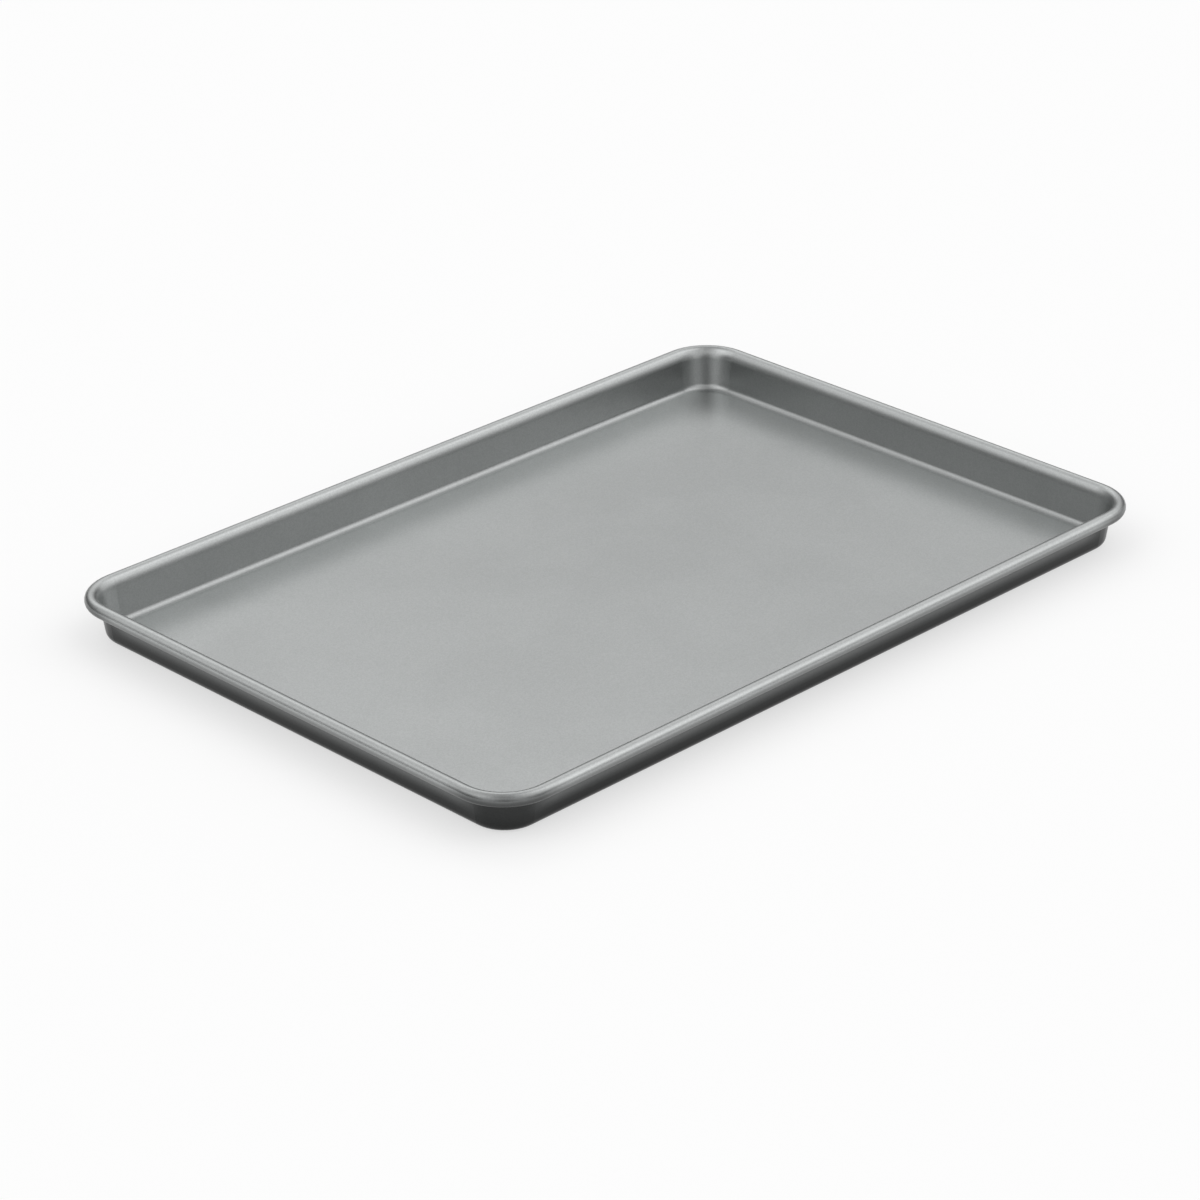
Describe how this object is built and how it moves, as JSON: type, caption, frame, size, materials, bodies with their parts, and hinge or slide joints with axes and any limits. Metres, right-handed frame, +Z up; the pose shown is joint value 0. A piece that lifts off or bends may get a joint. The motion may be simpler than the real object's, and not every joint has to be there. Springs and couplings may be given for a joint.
{
  "type": "jelly roll pan",
  "caption": "Shallow rectangular baking pan with a flat floor, leaning walls, rounded corners and an edge rolled outward round a hidden steel wire.",
  "frame": {"origin": "middle of the pan's underside", "axes": "+X along the pan, +Y across it, +Z up out of the tray"},
  "size_m": [0.406, 0.28, 0.0215],
  "materials": {
    "coated_sheet": "satin silver-grey non-stick coating on the inside and over the rim, fading to charcoal on the outside",
    "wire": "drawn mild steel wire, bare"
  },
  "bodies": {
    "root": {"pan": "coated_sheet", "rim_wire": "wire"}
  },
  "joints": []
}
